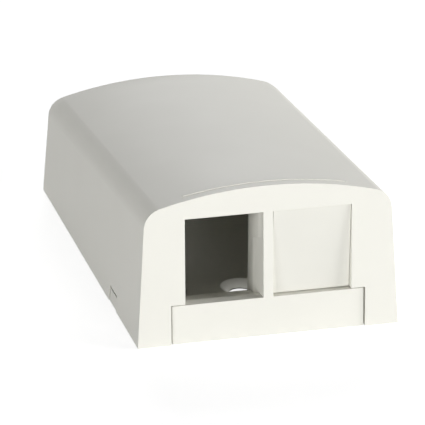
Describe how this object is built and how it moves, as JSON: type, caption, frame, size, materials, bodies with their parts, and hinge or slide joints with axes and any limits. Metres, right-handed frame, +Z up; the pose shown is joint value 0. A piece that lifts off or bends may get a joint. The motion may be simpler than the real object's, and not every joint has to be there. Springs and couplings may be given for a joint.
{
  "type": "surface mount jack box",
  "caption": "Low surface mount box for modular jacks: arched clip-fit cover over a moulded base with a jack frame, one port open and one closed by a blank.",
  "frame": {"origin": "centre of the footprint, on the mounting surface", "axes": "+X to the right when facing the ports, -Y towards the ports, +Y towards the cable entry, +Z up from the mounting surface"},
  "size_m": [0.0498, 0.084, 0.0292],
  "materials": {
    "abs_off_white": "satin",
    "abs_off_white_base": "satin"
  },
  "bodies": {
    "base": {"base": "abs_off_white_base"},
    "cover": {"cover": "abs_off_white"},
    "blank": {"blank_insert": "abs_off_white_base"}
  },
  "joints": [
    {"name": "cover_lift", "type": "slide", "parent": "base", "child": "cover", "axis": [0, 0, 1], "range_m": [0, 0.035]},
    {"name": "blank_pull", "type": "slide", "parent": "base", "child": "blank", "axis": [0, -0.9981, 0.061], "range_m": [0, 0.015]}
  ]
}
